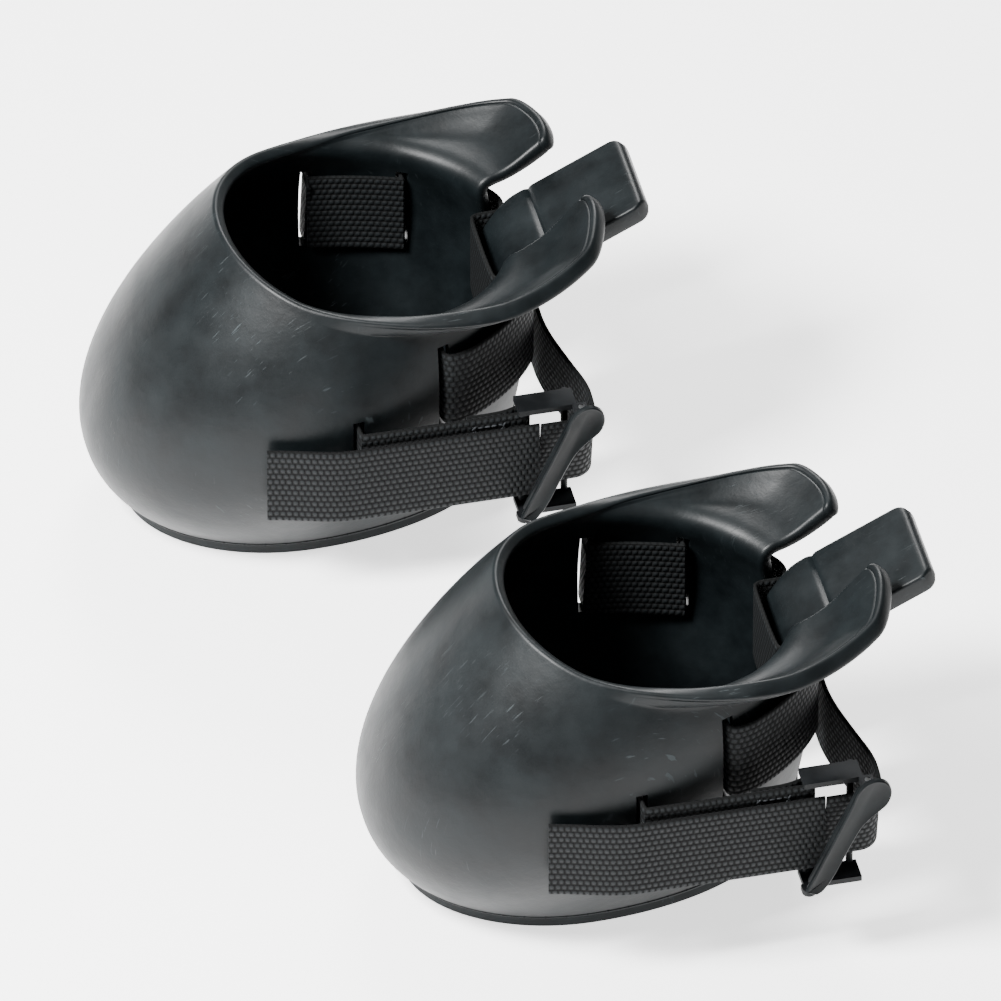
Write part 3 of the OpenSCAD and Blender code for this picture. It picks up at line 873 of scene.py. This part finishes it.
# stitches and moulding nibs: small beads repeated along a path
def beadTree(name, material, ridge):
    tree = bpy.data.node_groups.new(name, "GeometryNodeTree")
    tree.interface.new_socket("Path", in_out="INPUT", socket_type="NodeSocketGeometry")
    for label, kind, value in (("Spacing", "NodeSocketFloat", 0.003), ("Bead Length", "NodeSocketFloat", 0.001),
                               ("Bead Radius", "NodeSocketFloat", 0.0004),
                               ("Ridge Radius", "NodeSocketFloat", 0.0003),
                               ("Seed", "NodeSocketInt", 7)):
        tree.interface.new_socket(label, in_out="INPUT", socket_type=kind).default_value = value
    tree.interface.new_socket("Beads", in_out="OUTPUT", socket_type="NodeSocketGeometry")
    given = tree.nodes.new("NodeGroupInput")
    result = tree.nodes.new("NodeGroupOutput")

    def node(kind, settings=None, links=None, values=None):
        made = tree.nodes.new(kind)
        for key, value in (settings or {}).items():
            setattr(made, key, value)
        for key, value in (values or {}).items():
            made.inputs[key].default_value = value
        for key, socket in (links or {}).items():
            tree.links.new(socket, made.inputs[key])
        return made

    curve = node("GeometryNodeMeshToCurve", None, {"Mesh": given.outputs["Path"]})
    spaced = node("GeometryNodeResampleCurve", {"mode": "LENGTH"},
                  {"Curve": curve.outputs["Curve"], "Length": given.outputs["Spacing"]})
    ball = node("GeometryNodeMeshIcoSphere", None, None, {"Radius": 1.0, "Subdivisions": 2})
    tangent = node("GeometryNodeInputTangent")
    turn = node("FunctionNodeAlignRotationToVector", {"axis": "X"}, {"Vector": tangent.outputs[0]})
    size = node("ShaderNodeCombineXYZ", None,
                {"X": given.outputs["Bead Length"], "Y": given.outputs["Bead Radius"],
                 "Z": given.outputs["Bead Radius"]})
    vary = node("FunctionNodeRandomValue", {"data_type": "FLOAT"}, {"Seed": given.outputs["Seed"]})
    vary.inputs[2].default_value, vary.inputs[3].default_value = 0.8, 1.1
    scaled = node("ShaderNodeVectorMath", {"operation": "SCALE"},
                  {0: size.outputs[0], "Scale": vary.outputs[1]})
    placed = node("GeometryNodeInstanceOnPoints", None,
                  {"Points": spaced.outputs["Curve"], "Instance": ball.outputs["Mesh"],
                   "Rotation": turn.outputs[0], "Scale": scaled.outputs[0]})
    beads = placed.outputs["Instances"]
    if ridge:
        ring = node("GeometryNodeCurvePrimitiveCircle", None, {"Radius": given.outputs["Ridge Radius"]},
                    {"Resolution": 8})
        tube = node("GeometryNodeCurveToMesh", None,
                    {"Curve": curve.outputs["Curve"], "Profile Curve": ring.outputs["Curve"]}, {"Fill Caps": True})
        both = node("GeometryNodeJoinGeometry")
        tree.links.new(tube.outputs["Mesh"], both.inputs[0])
        tree.links.new(beads, both.inputs[0])
        beads = both.outputs[0]
    real = node("GeometryNodeRealizeInstances", None, {"Geometry": beads})
    painted = node("GeometryNodeSetMaterial", None, {"Geometry": real.outputs[0]}, {"Material": material})
    tree.links.new(painted.outputs[0], result.inputs[0])
    return tree


def growBeads(name, points, edges, tree, look, material):
    obj = makeObject(name, points, [], material)
    mesh = bpy.data.meshes.new(name + "Path")
    mesh.from_pydata([tuple(v) for v in points], edges, [])
    mesh.materials.append(material)
    obj.data = mesh
    grown = obj.modifiers.new("beads", "NODES")
    grown.node_group = tree
    for item in tree.interface.items_tree:
        if item.in_out == "INPUT" and item.name in look:
            grown[item.identifier] = look[item.name]
    bakeModifiers(obj)
    for polygon in obj.data.polygons:
        polygon.use_smooth = True
    return obj


stitchLook = {"Spacing": 0.0029, "Bead Length": 0.00125, "Bead Radius": 0.00034, "Seed": 11}
nibLook = {"Spacing": 0.0088, "Bead Length": 0.0008, "Bead Radius": 0.00055, "Ridge Radius": 0.00032,
           "Seed": 23}
stitchTree = beadTree("sewnRow", thread, False)
nibTree = beadTree("mouldFlash", rubber, True)

for tag, place in pads.items():
    low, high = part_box("strap_stitch_" + tag)
    y = low[1] + 0.0001
    x1, x2, z1, z2 = low[0] + 0.0004, high[0] - 0.0004, low[2] + 0.0004, high[2] - 0.0004
    corners = [(x1, y, z1), (x2, y, z1), (x2, y, z2), (x1, y, z2),
               (x1, y, z1), (x2, y, z2), (x1, y, z2), (x2, y, z1)]
    rows = growBeads("strapStitches_" + tag, corners, [(0, 1), (1, 2), (2, 3), (3, 4), (4, 5), (6, 7)],
                     stitchTree, stitchLook, thread)
    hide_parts("strap_stitch_" + tag)
    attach(rows, "pad_" + tag)
    turns = np.linspace(-wallEnd + 0.02, wallEnd - 0.02, 160)
    line = skin(turns, np.full(160, 0.022)) + outward(turns) * 0.0001
    flash = growBeads("mouldFlash_" + tag, [Vector(v) + place for v in line], [(k, k + 1) for k in range(159)],
                      nibTree, nibLook, rubber)
    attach(flash, "pad_" + tag)
print("stitches and mould flash ready")

# carried-over pieces
for tag in pads:
    for node, material in (("outsole", soleRubber), ("buckle_frame", framePlastic),
                           ("buckle_pin", steel)):
        item = bpy.data.objects[node + "_" + tag]
        if not item.data.materials:
            item.data.materials.append(material)
        for k in range(len(item.data.materials)):
            item.data.materials[k] = material
